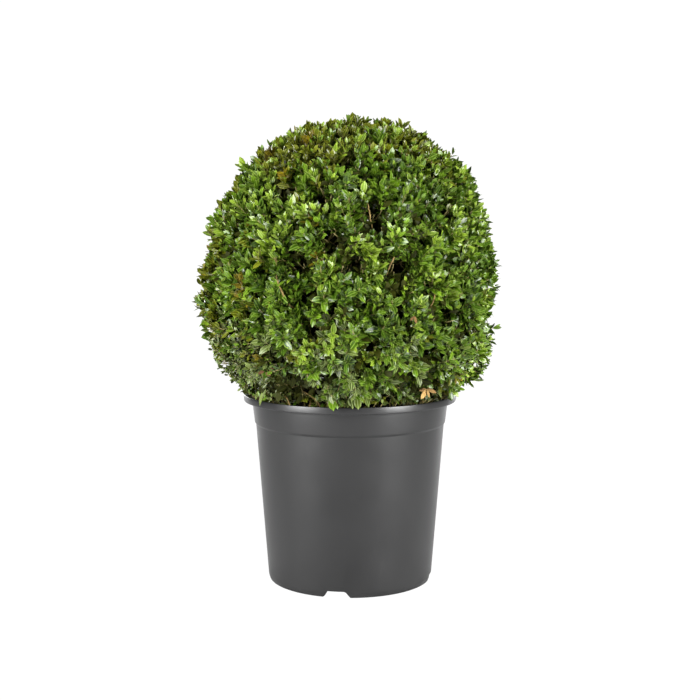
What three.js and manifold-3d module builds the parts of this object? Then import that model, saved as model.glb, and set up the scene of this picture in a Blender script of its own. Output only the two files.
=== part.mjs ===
// A box topiary ball in its nursery pot: a clipped ball of small leaves, a little taller than wide, on a
// short stem that forks into seven boughs, in compost in a plain dark pot with a flanged rim.
// Millimetres, +Z up. The origin is the middle of the pot's underside, and the front of the plant is -Y.
import * as THREE from "three";
import { mergeVertices } from "three/addons/utils/BufferGeometryUtils.js";
import Module from "manifold-3d";

const wasm = await Module();
wasm.setup();

const GAP = 0.3; // between pieces that touch
const SEED = 24;

// The pot: a tapered wall, a collar above a small step, and a flange that turns out to an upright edge.
const RIM_RADIUS = 120;
const RIM_TOP = 212.8;
const RIM_EDGE = 7.2;
const FLANGE_FOOT_RADIUS = 110.6;
const FLANGE_FOOT = 204.6;
const COLLAR_TOP_RADIUS = 110.2;
const COLLAR_TOP = 200;
const COLLAR_FOOT_RADIUS = 107.8;
const COLLAR_FOOT = 181;
const WALL_TOP_RADIUS = 106.5;
const WALL_TOP = 178.6;
const WALL_FOOT_RADIUS = 93.1;
const WALL_FOOT = 4;
const FOOT_RADIUS = 91;
const WALL = 2;
const EDGE_ROUND = 0.6;
const POT_SIDES = 48;

// The pot stands on a ring, and its floor is raised inside that.
const RING_INNER_RADIUS = 84;
const FLOOR_UNDERSIDE = 8;
const FLOOR_TOP = 10;
const NOTCHES = 4;
const NOTCH_TURN = THREE.MathUtils.degToRad(-9.6); // from the front towards -X
const NOTCH_TOP_WIDTH = 21;
const NOTCH_FOOT_WIDTH = 28;
const NOTCH_HEIGHT = 7.5;
const NOTCH_DEPTH = 24;
const DRAIN_HOLES = 8;
const DRAIN_RADIUS = 5;
const DRAIN_CIRCLE_RADIUS = 62;

// The compost, flat in the middle and a little lower at the wall.
const SOIL_TOP = 203;
const SOIL_EDGE_DROP = 1.6;
const SOIL_EDGE_ROUND = 2.6;
const SOIL_FLAT_RADIUS = 40;
const SOIL_SIDES = 24;

// The stem that the crown stands on, with its root flare and lean.
const TRUNK_TOP = 262;
const TRUNK_RADII = [15.5, 12.2, 10.9, 10.3, 9.8, 8.6];
const TRUNK_HEIGHTS = [0, 0.1, 0.28, 0.55, 0.86, 1];
const TRUNK_LEAN = new THREE.Vector3(3.5, -2.5, 0);
const TRUNK_SIDES = 12;

// The boughs: one up the middle, and six all round that leave the stem at two heights by turns.
const SIDE_NAMES = ["front", "front_right", "back_right", "back", "back_left", "front_left"];
const BOUGH_FOOT_RADIUS = 4.7;
const BOUGH_TIP_RADIUS = 3.2;
const BOUGH_HEIGHTS = [0.62, 0.82]; // shares of the stem
const TOP_BOUGH_HEIGHT = 0.9;
const BOUGH_OUTWARD = 46; // how far a side bough runs out and up before it turns to its mass
const BOUGH_UPWARD = 20;
const BOUGH_WANDER = 6;
const BOUGH_TURN = 0.09;
const TOP_BOUGH_BEND = new THREE.Vector3(-9, 8, 0);
const TOP_BOUGH_END = new THREE.Vector3(4, -3, 0);
const BOUGH_SIDES = 8;
const BOUGH_STEPS = 5;

// The crown's clipped surface: two halves of a rounded form on one waist.
const CROWN_CENTRE = 330;
const CROWN_RADIUS = 169.5;
const CROWN_RISE = 191.5;
const CROWN_DROP = 139;
const UPPER_ROUNDNESS = 2.1;
const LOWER_ROUNDNESS = 2.9;
const LUMP = 4; // the most that a shoot's head stays below the clipped surface
const CLEAR_OF_POT = 1.5;
const INSIDE_RIM_RADIUS = 105;

// The masses of foliage: a cap, and six sectors below it. Each has a core that its twigs stand out of.
const CAP_ANGLE = THREE.MathUtils.degToRad(41); // from straight up, seen from the crown's centre
const SECTOR_ANGLE = (2 * Math.PI) / SIDE_NAMES.length;
const CORE_FOOT_ANGLE = THREE.MathUtils.degToRad(136);
const CORE_SWELL_ANGLE = THREE.MathUtils.degToRad(120); // the core swells from here down to the pot's rim
const CORE_DEPTH = 25; // under the clipped surface
const CORE_FOOT_DEPTH = 9.5;
const CORE_THICKNESS = 30;
const CORE_EDGE_ANGLE = 0.005; // between a core's side and the edge of its space
const MASS_CLEARANCE = 0.7; // between a leaf and the edge of its space
const STEM_LENGTH = 34;
const STEM_SHOWN = 16; // of the stem, between the bough's tip and the core
const BOUGH_TIP_DEPTH = CORE_DEPTH + CORE_THICKNESS + STEM_SHOWN;

// Shoots are twigs that carry pairs of opposite leaves, each pair turned from the last. The leaves are
// larger than life, so that fewer of them fill the crown.
const SHOOTS = 80;
const SHOOT_FOOT_ANGLE = THREE.MathUtils.degToRad(129);
const SHOOT_EDGE_ANGLE = 0.06; // between a shoot's root and the edge of its space
const SHOOT_RISE = 0.12; // how far a shoot turns upwards
const SHOOT_WANDER = 0.14;
const TWIG_ROOT_DEPTH = 33;
const TWIG_TIP_DEPTH = 7;
const TWIG_ROOT_RADIUS = 3.2;
const TWIG_TIP_RADIUS = 1.4;
const TWIG_SIDES = 3;
const PAIR_TURN = Math.PI / TWIG_SIDES;
const LEAF_PAIRS = [
  { share: 0.44, lean: 1.14, length: 36 },
  { share: 0.65, lean: 1.0, length: 30 },
  { share: 0.86, lean: 0.75, length: 16 },
];
const LEAF_WIDTH = 0.52; // of its length
const LEAF_BROADEST = 0.42; // how far along it
const LEAF_THICKNESS = 1.8;
const LEAF_VARIETY = 0.12; // in length and in lean
const LEAF_SUNK = 0.4; // past the twig's middle
const LEAF_TURNS = [0, 0.5, -0.5]; // tried in order where a leaf would leave its space or meet another
const LEAF_SHRINKS = [1, 0.8];

const POT_PLASTIC = new THREE.MeshStandardMaterial({ color: 0x4a4a4c, roughness: 0.5 });
const COMPOST = new THREE.MeshStandardMaterial({ color: 0x33241a, roughness: 1 });
const BARK = new THREE.MeshStandardMaterial({ color: 0x8c7350, roughness: 0.9 });
const LEAVES = new THREE.MeshStandardMaterial({ color: 0x426b22, roughness: 0.45 });

const UP = new THREE.Vector3(0, 0, 1);
const CROWN_MIDDLE = new THREE.Vector3(0, 0, CROWN_CENTRE);
const GOLDEN_ANGLE = Math.PI * (3 - Math.sqrt(5));

// Repeatable random numbers from 0 to 1.
function randomFrom(seed) {
  let state = seed;
  return () => {
    state = (state + 0x6d2b79f5) | 0;
    let t = Math.imul(state ^ (state >>> 15), 1 | state);
    t = (t + Math.imul(t ^ (t >>> 7), 61 | t)) ^ t;
    return ((t ^ (t >>> 14)) >>> 0) / 4294967296;
  };
}

const random = randomFrom(SEED);
const spread = (range) => range * (2 * random() - 1);

// A closed geometry as a solid that can be joined and cut.
function solidOf(geometry) {
  const bare = new THREE.BufferGeometry();
  bare.setAttribute("position", geometry.getAttribute("position"));
  bare.setIndex(geometry.index);
  const merged = mergeVertices(bare, 1e-4);
  return new wasm.Manifold(
    new wasm.Mesh({
      numProp: 3,
      vertProperties: new Float32Array(merged.getAttribute("position").array),
      triVerts: new Uint32Array(merged.index.array),
    }),
  );
}

// Joins many solids two by two, so that each join stays small.
function joined(solids) {
  if (solids.length === 1) return solids[0];
  const middle = solids.length >> 1;
  return joined(solids.slice(0, middle)).add(joined(solids.slice(middle)));
}

// The largest body of a solid: loose scraps and sealed hollows are left out.
function mainBody(solid) {
  return solid.decompose().reduce((a, b) => (b.volume() > a.volume() ? b : a));
}

function meshOf(name, solid, material) {
  const { vertProperties, triVerts, numProp } = solid.getMesh();
  const positions = new Float32Array((vertProperties.length / numProp) * 3);
  for (let i = 0; i < positions.length / 3; i++) {
    positions.set(vertProperties.subarray(i * numProp, i * numProp + 3), i * 3);
  }
  const geometry = new THREE.BufferGeometry();
  geometry.setAttribute("position", new THREE.BufferAttribute(positions, 3));
  geometry.setIndex(new THREE.BufferAttribute(new Uint32Array(triVerts), 1));
  geometry.computeVertexNormals();
  const mesh = new THREE.Mesh(geometry, material);
  mesh.name = name;
  return mesh;
}

// A form turned round the Z axis from its outline, a list of [radius, height] from the foot up.
function turned(outline, sides) {
  const points = outline.map(([radius, height]) => new THREE.Vector2(radius, height));
  return solidOf(new THREE.LatheGeometry(points, sides).rotateX(Math.PI / 2));
}

// A tapering limb through the given points, with flat ends. Its first corner is turned to facing.
function limb(points, radii, sides, facing = new THREE.Vector3(1, 0.1, 0.2)) {
  const positions = [];
  const index = [];
  const last = points.length - 1;
  const side = facing.clone();
  points.forEach((point, i) => {
    const along = points[Math.min(i + 1, last)].clone().sub(points[Math.max(i - 1, 0)]).normalize();
    side.addScaledVector(along, -side.dot(along)).normalize();
    const across = along.clone().cross(side);
    for (let j = 0; j < sides; j++) {
      const turn = (2 * Math.PI * j) / sides;
      const corner = point.clone();
      corner.addScaledVector(side, radii[i] * Math.cos(turn));
      corner.addScaledVector(across, radii[i] * Math.sin(turn));
      positions.push(...corner.toArray());
    }
  });
  for (let i = 0; i < last; i++) {
    for (let j = 0; j < sides; j++) {
      const a = i * sides + j;
      const b = i * sides + ((j + 1) % sides);
      index.push(a, b, b + sides, a, b + sides, a + sides);
    }
  }
  const end = last * sides;
  for (let j = 1; j < sides - 1; j++) {
    index.push(0, j + 1, j, end, end + j, end + j + 1);
  }
  const geometry = new THREE.BufferGeometry();
  geometry.setAttribute("position", new THREE.Float32BufferAttribute(positions, 3));
  geometry.setIndex(index);
  return solidOf(geometry);
}

// The pot.

function potOutside() {
  return [
    [FOOT_RADIUS, 0],
    [WALL_FOOT_RADIUS - EDGE_ROUND, WALL_FOOT * 0.3],
    [WALL_FOOT_RADIUS, WALL_FOOT],
    [WALL_TOP_RADIUS, WALL_TOP],
    [COLLAR_FOOT_RADIUS, COLLAR_FOOT],
    [COLLAR_TOP_RADIUS, COLLAR_TOP],
    [FLANGE_FOOT_RADIUS, FLANGE_FOOT],
    [RIM_RADIUS - EDGE_ROUND, RIM_TOP - RIM_EDGE - EDGE_ROUND],
    [RIM_RADIUS, RIM_TOP - RIM_EDGE],
    [RIM_RADIUS, RIM_TOP - EDGE_ROUND],
    [RIM_RADIUS - EDGE_ROUND, RIM_TOP],
  ];
}

// The inside follows the outside, a wall's thickness in.
function potInside() {
  return [
    [RIM_RADIUS - WALL, RIM_TOP],
    [RIM_RADIUS - WALL, RIM_TOP - RIM_EDGE + WALL],
    [FLANGE_FOOT_RADIUS - WALL, FLANGE_FOOT + WALL],
    [COLLAR_TOP_RADIUS - WALL, COLLAR_TOP + 0.8],
    [WALL_TOP_RADIUS - WALL, WALL_TOP],
    [WALL_FOOT_RADIUS - WALL + 0.8, FLOOR_TOP + 3],
    [WALL_FOOT_RADIUS - WALL - 2.2, FLOOR_TOP],
  ];
}

function pot() {
  let solid = turned(
    [
      [0, FLOOR_UNDERSIDE],
      [RING_INNER_RADIUS - 2, FLOOR_UNDERSIDE],
      [RING_INNER_RADIUS, 0],
      ...potOutside(),
      ...potInside(),
      [0, FLOOR_TOP],
    ],
    POT_SIDES,
  );
  const below = 1;
  const slope = (NOTCH_FOOT_WIDTH - NOTCH_TOP_WIDTH) / 2 / NOTCH_HEIGHT;
  const half = NOTCH_FOOT_WIDTH / 2 + slope * below;
  const notch = new THREE.Shape([
    new THREE.Vector2(-half, -below),
    new THREE.Vector2(half, -below),
    new THREE.Vector2(NOTCH_TOP_WIDTH / 2, NOTCH_HEIGHT),
    new THREE.Vector2(-NOTCH_TOP_WIDTH / 2, NOTCH_HEIGHT),
  ]);
  for (let i = 0; i < NOTCHES; i++) {
    const cut = new THREE.ExtrudeGeometry(notch, { depth: NOTCH_DEPTH, bevelEnabled: false });
    cut.translate(0, 0, FOOT_RADIUS - NOTCH_DEPTH * 0.6);
    cut.rotateX(Math.PI / 2);
    cut.rotateZ(NOTCH_TURN + (2 * Math.PI * i) / NOTCHES);
    solid = solid.subtract(solidOf(cut));
  }
  for (let i = 0; i < DRAIN_HOLES; i++) {
    const turn = (2 * Math.PI * (i + 0.5)) / DRAIN_HOLES;
    const hole = new THREE.CylinderGeometry(DRAIN_RADIUS, DRAIN_RADIUS, 6, 12);
    hole.rotateX(Math.PI / 2);
    hole.translate(
      DRAIN_CIRCLE_RADIUS * Math.cos(turn),
      DRAIN_CIRCLE_RADIUS * Math.sin(turn),
      (FLOOR_UNDERSIDE + FLOOR_TOP) / 2,
    );
    solid = solid.subtract(solidOf(hole));
  }
  return meshOf("pot", solid, POT_PLASTIC);
}

function soil() {
  const wall = potInside().map(([radius, height]) => [radius - GAP, height]).reverse();
  const [foot, lower, upper, collar] = wall;
  const edge = SOIL_TOP - SOIL_EDGE_DROP;
  const solid = turned(
    [
      [0, FLOOR_TOP + GAP],
      [foot[0], FLOOR_TOP + GAP],
      lower,
      upper,
      [collar[0] - GAP, edge - SOIL_EDGE_ROUND / 2],
      [collar[0] - SOIL_EDGE_ROUND, edge],
      [SOIL_FLAT_RADIUS, SOIL_TOP],
      [0, SOIL_TOP],
    ],
    SOIL_SIDES,
  );
  return meshOf("soil", solid, COMPOST);
}

// The stem and the boughs.

function trunkPoint(share) {
  const height = TRUNK_TOP - SOIL_TOP - GAP;
  return new THREE.Vector3(0, 0, SOIL_TOP + GAP + height * share).addScaledVector(TRUNK_LEAN, share * share);
}

function trunkSolid(grown) {
  const points = TRUNK_HEIGHTS.map(trunkPoint);
  points[points.length - 1].z += grown;
  return limb(points, TRUNK_RADII.map((radius) => radius + grown), TRUNK_SIDES);
}

// The direction that leans by polar from straight up, at an azimuth from +X.
function directionOf(polar, azimuth) {
  const level = Math.sin(polar);
  return new THREE.Vector3(level * Math.cos(azimuth), level * Math.sin(azimuth), Math.cos(polar));
}

// How far the clipped surface lies from the crown's centre in a direction.
function crownReach(direction) {
  const level = Math.hypot(direction.x, direction.y);
  const upper = direction.z > 0;
  const height = upper ? CROWN_RISE : CROWN_DROP;
  const power = upper ? UPPER_ROUNDNESS : LOWER_ROUNDNESS;
  return ((level / CROWN_RADIUS) ** power + (Math.abs(direction.z) / height) ** power) ** (-1 / power);
}

// The point at a depth under the clipped surface.
function crownPoint(direction, depth) {
  return CROWN_MIDDLE.clone().addScaledVector(direction, crownReach(direction) - depth);
}

function bough(foot, control, tip) {
  const curve = new THREE.QuadraticBezierCurve3(foot, control, tip);
  const radii = [];
  for (let i = 0; i <= BOUGH_STEPS; i++) {
    radii.push(THREE.MathUtils.lerp(BOUGH_FOOT_RADIUS, BOUGH_TIP_RADIUS, i / BOUGH_STEPS));
  }
  const solid = limb(curve.getPoints(BOUGH_STEPS), radii, BOUGH_SIDES);
  return { solid: mainBody(solid.subtract(trunkSolid(GAP))), tip, along: curve.getTangent(1) };
}

function topBough() {
  const foot = trunkPoint(TOP_BOUGH_HEIGHT);
  const tip = crownPoint(UP, BOUGH_TIP_DEPTH).add(TOP_BOUGH_END);
  return bough(foot, foot.clone().lerp(tip, 0.5).add(TOP_BOUGH_BEND), tip);
}

function sideBough(i) {
  const azimuth = sectorAzimuth(i) + spread(BOUGH_TURN);
  const foot = trunkPoint(BOUGH_HEIGHTS[i % BOUGH_HEIGHTS.length]);
  const tip = crownPoint(directionOf(Math.PI / 2 + spread(BOUGH_TURN), azimuth), BOUGH_TIP_DEPTH);
  const control = foot.clone().addScaledVector(UP, BOUGH_UPWARD + spread(BOUGH_WANDER));
  control.addScaledVector(directionOf(Math.PI / 2, azimuth), BOUGH_OUTWARD + spread(BOUGH_WANDER));
  return bough(foot, control, tip);
}

// The masses of foliage.

function sectorAzimuth(i) {
  return -Math.PI / 2 + i * SECTOR_ANGLE;
}

// How far a point lies inside the space of a mass: the crown above the pot, and its own cap or sector.
function clearance(space, point) {
  const offset = point.clone().sub(CROWN_MIDDLE);
  const distance = offset.length();
  const fromAxis = Math.hypot(point.x, point.y);
  const floor = fromAxis > INSIDE_RIM_RADIUS ? RIM_TOP : SOIL_TOP;
  const belowCap = distance * Math.sin(offset.angleTo(UP) - CAP_ANGLE);
  const limits = [
    crownReach(offset.clone().normalize()) - distance + MASS_CLEARANCE,
    point.z - floor - CLEAR_OF_POT + MASS_CLEARANCE,
    space.azimuth === null ? -belowCap : belowCap,
  ];
  if (space.azimuth !== null) {
    for (const hand of [-1, 1]) {
      const edge = space.azimuth + (hand * SECTOR_ANGLE) / 2;
      limits.push(hand * (offset.x * Math.sin(edge) - offset.y * Math.cos(edge)));
    }
  }
  return Math.min(...limits);
}

function fits(space, geometry) {
  const corners = geometry.getAttribute("position");
  for (let i = 0; i < corners.count; i++) {
    const corner = new THREE.Vector3().fromBufferAttribute(corners, i);
    if (clearance(space, corner) < MASS_CLEARANCE) return false;
  }
  return true;
}

function capCore() {
  const outline = [];
  const edge = CAP_ANGLE - CORE_EDGE_ANGLE;
  const levels = [
    { depth: CORE_DEPTH + CORE_THICKNESS, shares: [0, 0.5, 1] },
    { depth: CORE_DEPTH, shares: [1, 0.7, 0.35, 0] },
  ];
  for (const { depth, shares } of levels) {
    for (const share of shares) {
      const point = crownPoint(directionOf(edge * share, 0), depth);
      outline.push([share === 0 ? 0 : point.x, point.z]);
    }
  }
  return turned(outline, 16);
}

// A sector's core is a block bent to the crown's form: its sides run by depth, by lean and round the axis.
function sectorCore(azimuth) {
  const block = new THREE.BoxGeometry(1, 1, 1, 1, 6, 3);
  const corners = block.getAttribute("position");
  const width = SECTOR_ANGLE - 2 * CORE_EDGE_ANGLE;
  for (let i = 0; i < corners.count; i++) {
    const polar = THREE.MathUtils.lerp(CAP_ANGLE + CORE_EDGE_ANGLE, CORE_FOOT_ANGLE, corners.getY(i) + 0.5);
    const swell = THREE.MathUtils.smoothstep(polar, CORE_SWELL_ANGLE, CORE_FOOT_ANGLE);
    const outer = THREE.MathUtils.lerp(CORE_DEPTH, CORE_FOOT_DEPTH, swell);
    const depth = outer + CORE_THICKNESS * (0.5 - corners.getX(i));
    const point = crownPoint(directionOf(polar, azimuth + width * corners.getZ(i)), depth);
    corners.setXYZ(i, point.x, point.y, point.z);
  }
  return solidOf(block);
}

// A leaf of eight faces from its root along a direction, with its upper side turned to the shoot's tip.
function leaf(root, along, facing, length) {
  const upper = facing.clone().addScaledVector(along, -facing.dot(along)).normalize();
  const across = upper.clone().cross(along);
  const geometry = new THREE.OctahedronGeometry(1);
  geometry.scale((length * LEAF_WIDTH) / 2, LEAF_THICKNESS / 2, 1);
  const corners = geometry.getAttribute("position");
  for (let i = 0; i < corners.count; i++) {
    const end = corners.getZ(i);
    corners.setZ(i, end > 0.5 ? length : end < -0.5 ? 0 : length * LEAF_BROADEST);
  }
  return geometry.applyMatrix4(new THREE.Matrix4().makeBasis(across, upper, along).setPosition(root));
}

// The leaf as it fits among the others, turned and shortened as little as that needs, or null.
function fittedLeaf(space, others, root, axis, side, lean, length) {
  for (const shrink of LEAF_SHRINKS) {
    for (const turn of LEAF_TURNS) {
      const away = side.clone().applyAxisAngle(axis, turn);
      const along = axis.clone().multiplyScalar(Math.cos(lean)).addScaledVector(away, Math.sin(lean));
      const start = root.clone().addScaledVector(along, -LEAF_SUNK);
      const geometry = leaf(start, along, axis, length * shrink);
      if (!fits(space, geometry)) continue;
      const solid = solidOf(geometry);
      const near = others.filter((other) => other.middle.distanceTo(root) < 2 * length);
      if (near.every((other) => other.solid.intersect(solid).volume() === 0)) return solid;
    }
  }
  return null;
}

// One shoot: a twig out of the core with its leaves, as far as they fit its mass's space and its neighbours.
function shoot(space, direction, others) {
  const tipDepth = TWIG_TIP_DEPTH + LUMP * random();
  const root = crownPoint(direction, TWIG_ROOT_DEPTH);
  const axis = direction.clone().addScaledVector(UP, SHOOT_RISE * Math.sin(direction.angleTo(UP)));
  axis.add(new THREE.Vector3(spread(SHOOT_WANDER), spread(SHOOT_WANDER), spread(SHOOT_WANDER))).normalize();
  const tip = root.clone().addScaledVector(axis, (TWIG_ROOT_DEPTH - tipDepth) / axis.dot(direction));
  if (clearance(space, tip) < MASS_CLEARANCE) return [];
  const side = new THREE.Vector3(spread(1), spread(1), spread(1)).cross(axis).normalize();
  const pieces = [limb([root, tip], [TWIG_ROOT_RADIUS, TWIG_TIP_RADIUS], TWIG_SIDES, side)];
  for (const { share, lean, length } of LEAF_PAIRS) {
    const node = root.clone().lerp(tip, share);
    for (const hand of [1, -1]) {
      const away = side.clone().multiplyScalar(hand);
      const size = length * (1 + spread(LEAF_VARIETY));
      const solid = fittedLeaf(space, others, node, axis, away, lean + spread(LEAF_VARIETY), size);
      if (solid) pieces.push(solid);
    }
    side.applyAxisAngle(axis, PAIR_TURN);
  }
  others.push(...pieces.map((solid) => ({ solid, middle: tip })));
  return pieces;
}

// The directions of the shoots of one mass, evenly spread on the crown and drawn in from the mass's edges.
function shootDirections(space) {
  const directions = [];
  for (let i = 0; i < SHOOTS; i++) {
    const height = 1 - ((i + 0.5) / SHOOTS) * (1 - Math.cos(SHOOT_FOOT_ANGLE));
    let polar = Math.acos(height);
    const azimuth = i * GOLDEN_ANGLE;
    const inCap = polar < CAP_ANGLE;
    if (inCap !== (space.azimuth === null)) continue;
    if (inCap) {
      polar = Math.min(polar, CAP_ANGLE - SHOOT_EDGE_ANGLE);
      directions.push(directionOf(polar, azimuth));
      continue;
    }
    const turn = azimuth - space.azimuth;
    const offset = Math.atan2(Math.sin(turn), Math.cos(turn));
    if (Math.abs(offset) > SECTOR_ANGLE / 2) continue;
    polar = Math.max(polar, CAP_ANGLE + SHOOT_EDGE_ANGLE);
    const most = SECTOR_ANGLE / 2 - SHOOT_EDGE_ANGLE / Math.sin(polar);
    directions.push(directionOf(polar, space.azimuth + THREE.MathUtils.clamp(offset, -most, most)));
  }
  return directions;
}

// A mass of foliage from the tip of its bough on: a stem, a core and the shoots that stand out of it.
function foliage(space, limbBelow, core) {
  const start = limbBelow.tip.clone().addScaledVector(limbBelow.along, GAP);
  const end = start.clone().addScaledVector(limbBelow.along, STEM_LENGTH);
  const stem = limb([start, end], [BOUGH_TIP_RADIUS, BOUGH_TIP_RADIUS - 0.6], BOUGH_SIDES);
  const others = [];
  const shoots = shootDirections(space).flatMap((direction) => shoot(space, direction, others));
  return mainBody(joined([core, stem, ...shoots]));
}

const plant = new THREE.Group();
plant.add(pot(), soil(), meshOf("trunk", trunkSolid(0), BARK));

const crown = new THREE.Group();
const leader = topBough();
crown.add(meshOf("bough_top", leader.solid, BARK));
crown.add(meshOf("foliage_top", foliage({ azimuth: null }, leader, capCore()), LEAVES));
SIDE_NAMES.forEach((side, i) => {
  const azimuth = sectorAzimuth(i);
  const limbBelow = sideBough(i);
  crown.add(meshOf(`bough_${side}`, limbBelow.solid, BARK));
  crown.add(meshOf(`foliage_${side}`, foliage({ azimuth }, limbBelow, sectorCore(azimuth)), LEAVES));
});
plant.add(crown);

export default plant;
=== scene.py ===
import math

import bpy
import numpy as np
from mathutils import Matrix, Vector, noise


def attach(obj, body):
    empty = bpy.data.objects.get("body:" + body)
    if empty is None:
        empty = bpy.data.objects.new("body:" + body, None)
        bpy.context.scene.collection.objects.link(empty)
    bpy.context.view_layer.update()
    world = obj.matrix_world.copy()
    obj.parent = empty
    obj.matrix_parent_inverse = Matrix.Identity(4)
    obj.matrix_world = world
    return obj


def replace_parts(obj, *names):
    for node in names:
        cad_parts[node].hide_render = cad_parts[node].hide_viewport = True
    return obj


MM = 0.001
SEED = 24
GOLDEN_ANGLE = math.pi * (3 - math.sqrt(5))

# The camera, as fitted to the photograph's rim, foot and crown.
CAMERA_PLACE = (0, -1.47826, 0.42257)
CAMERA_DOWN = 6.255  # degrees
CAMERA_LENS = 67.646

# The studio.
WHITE = 1.04  # of the backdrop and the floor, as the camera sees them
ROOM_LIGHT = 0.085
FLOOR_GREY = 0.55
FLOOR_SIZE = 120000
LAMPS = [  # name, place, the height aimed at on the Z axis, width and height, and power
    ("softbox_left", (-1.30, -1.09, 0.68), 0.36, (0.8, 1.6), 76),
    ("softbox_right", (1.30, -1.09, 0.68), 0.36, (0.8, 1.6), 76),
    ("strip_left", (-0.95, 1.5, 0.7), 0.34, (0.6, 1.2), 22),
    ("strip_right", (0.95, 1.5, 0.7), 0.34, (0.6, 1.2), 28),
    ("overhead", (0.1, 0.1, 1.9), 0.3, (1, 1), 0.6),
]

# The pot, as in the part's source. Outline rows are radius, height and the corner's rounding.
POT_SEGMENTS = 192
POT_OUTSIDE = [
    (84, 0, 0), (91.6, 0, 1.4), (93.1, 5, 1.6), (106.5, 178.4, 0.5), (107.9, 180.6, 0.7),
    (110.2, 200, 0.5), (110.6, 204.8, 0.8), (120, 205.2, 1), (120, 212.8, 0.9), (118.1, 212.8, 0.6),
]
POT_INSIDE = [
    (118, 207.4, 0.8), (108.6, 206.8, 1), (108.2, 200.8, 0.5), (104.6, 178.6, 1), (91.8, 13, 1),
    (89, 10, 1),
]
RING_INNER = 82.0
FLOOR_UNDERSIDE = 8
FLOOR_TOP = 10
NOTCHES = 4
NOTCH_TURN = math.radians(-9.6)
NOTCH_TOP = (-10, 10.5)
NOTCH_FOOT = (-12, 16)
NOTCH_HEIGHT = 7.5
DRAIN_HOLES = 8
DRAIN_RADIUS = 5
DRAIN_CIRCLE = 62
HOLE_SEGMENTS = 24

# The compost.
SOIL_TOP = 202.5
SOIL_RADIUS = 107.6
SOIL_EDGE = 92  # the radius past which it falls away
CRUMBS = 1500
CRUMB_REACH = 104

# The stem and the boughs, each from its foot through its bend to its tip.
TRUNK_FOOT = 203.3
TRUNK_TOP = 262
TRUNK_RADII = [15.5, 12.2, 10.9, 10.3, 9.8, 8.6]
TRUNK_HEIGHTS = [0, 0.1, 0.28, 0.55, 0.86, 1]
TRUNK_LEAN = (3.5, -2.5)
BOUGHS = {
    "top": [(2.8, -2, 256.1), (-5.6, 5.5, 353.3), (4, -3, 450.5)],
    "front": [(1.3, -1, 239.7), (2.2, -52.8, 256.2), (1.7, -98.5, 333.5)],
    "front_right": [(2.4, -1.7, 251.4), (36.9, -22.1, 276.3), (84.9, -50.2, 323.5)],
    "back_right": [(1.3, -1, 239.7), (44.3, 26.4, 254.5), (83, 52.9, 337.7)],
    "back": [(2.4, -1.7, 251.4), (3.3, 48.6, 265.5), (1.9, 98.5, 335.1)],
    "back_left": [(1.3, -1, 239.7), (-42.7, 26.3, 257), (-83.6, 51.8, 338.3)],
    "front_left": [(2.4, -1.7, 251.4), (-32, -24.8, 273.8), (-81.8, -55.1, 322.7)],
}
BOUGH_RADII = (4.7, 3.2)
BOUGH_STEPS = 46

# The crown's clipped surface: two halves of a rounded form on one waist.
CROWN_CENTRE = np.array([0, 0, 330.0])
CROWN_RADIUS = 169.5
CROWN_RISE = 191.5
CROWN_DROP = 139
UPPER_ROUNDNESS = 2.1
LOWER_ROUNDNESS = 2.9
# Where the clipping left it fuller or flatter: lean, azimuth, spread in degrees, and millimetres outwards.
CROWN_SHAPE = np.array([
    (0, 0, 12, -5), (28, 0, 8, 6), (35, 0, 6, -3), (43, 0, 11, 9), (20, 180, 7, 1), (29, 180, 6, -5),
    (50, 180, 9, -6), (68, 180, 8, -6), (68, 162, 8, -5), (68, -162, 8, -5), (95, 180, 9, 3.5),
    (85, 0, 11, -3), (101, 0, 8, -14), (101, -18, 8, -12), (101, 18, 8, -12), (110, 0, 4, 8),
    (116, 0, 5, -5), (125, 0, 8, 9), (64, 90, 14, -4), (80, 150, 12, 2), (48, 120, 14, 4),
])
CAP_ANGLE = math.radians(41)
RIM_TOP = 212.8
INSIDE_RIM = 106
POT_CLEAR = 120.6

# Growth from the bough tips outwards: limbs, sprays on them, and shoots in each spray.
LIMBS = 62
SPRAYS = 440
SHOOTS = 3500
INNER_SHOOTS = 1900
LIMB_DEPTH = 52
SPRAY_DEPTH = 36
FOOT_ANGLE = math.radians(131)
SPRAY_LEAN = 0.28
SHOOT_WANDER = 0.2
SHOOT_BEND = 0.55  # of its span, back from its head
SHOOT_TAPER = 0.45
LIMB_RADII = (2.9, 1.9)
SPRAY_RADII = (1.8, 1.15)
TIP_DEPTHS = (4, 10)  # of a shoot's head below the clipped surface
SPRAY_DOME = 5.5  # how much lower a spray's outermost heads lie
LIMB_DOME = 7
LIMB_SEAM = 6  # half the width of the open seams between limbs
SEAM_THINNING = 0.55  # the share of shoots left out in them
STRAYS = 0.03  # the share of shoots that stand out farther
STRAY_DEPTHS = (1, 5)
INNER_DEPTHS = (15, 27)

# Openings in the leaf cover, as lean from straight up and azimuth in degrees, with a radius.
OPENINGS = [
    (52, -103, 8), (59, -80, 11), (64, -79, 7), (68, -97, 9.5), (73, -113, 6.5), (79, -109, 8.5),
    (90, -107, 7.5), (94, -96, 6.5), (80, -90, 7.5), (77, -87, 8.5), (79, -72, 11), (92, -85, 7),
    (86, -60, 6), (97, -50, 8.5), (97, -71, 6.5), (101, -68, 5.5), (59, -45, 6.5), (109, -83, 6.5),
    (76, -51, 5.5), (49, -121, 5.5), (102, -104, 8.5), (111, -59, 7), (131, -43, 7), (124, -51, 5),
    (116, -82, 6), (119, -96, 5), (132, -123, 7), (131, -114, 7), (131, -105, 5.5),
]
OPENINGS_BEHIND = 34
OPENING_SHARE = 0.88  # of its radius, within which shoots and leaves are left out
OPENING_REACH = 30  # how far an opening's shaft runs in and out
HOLLOW_SPREAD = 1.9  # times the opening's radius
HOLLOW_DEPTH = 21
HOLLOW_REACH = 40  # how far in from the surface

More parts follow.
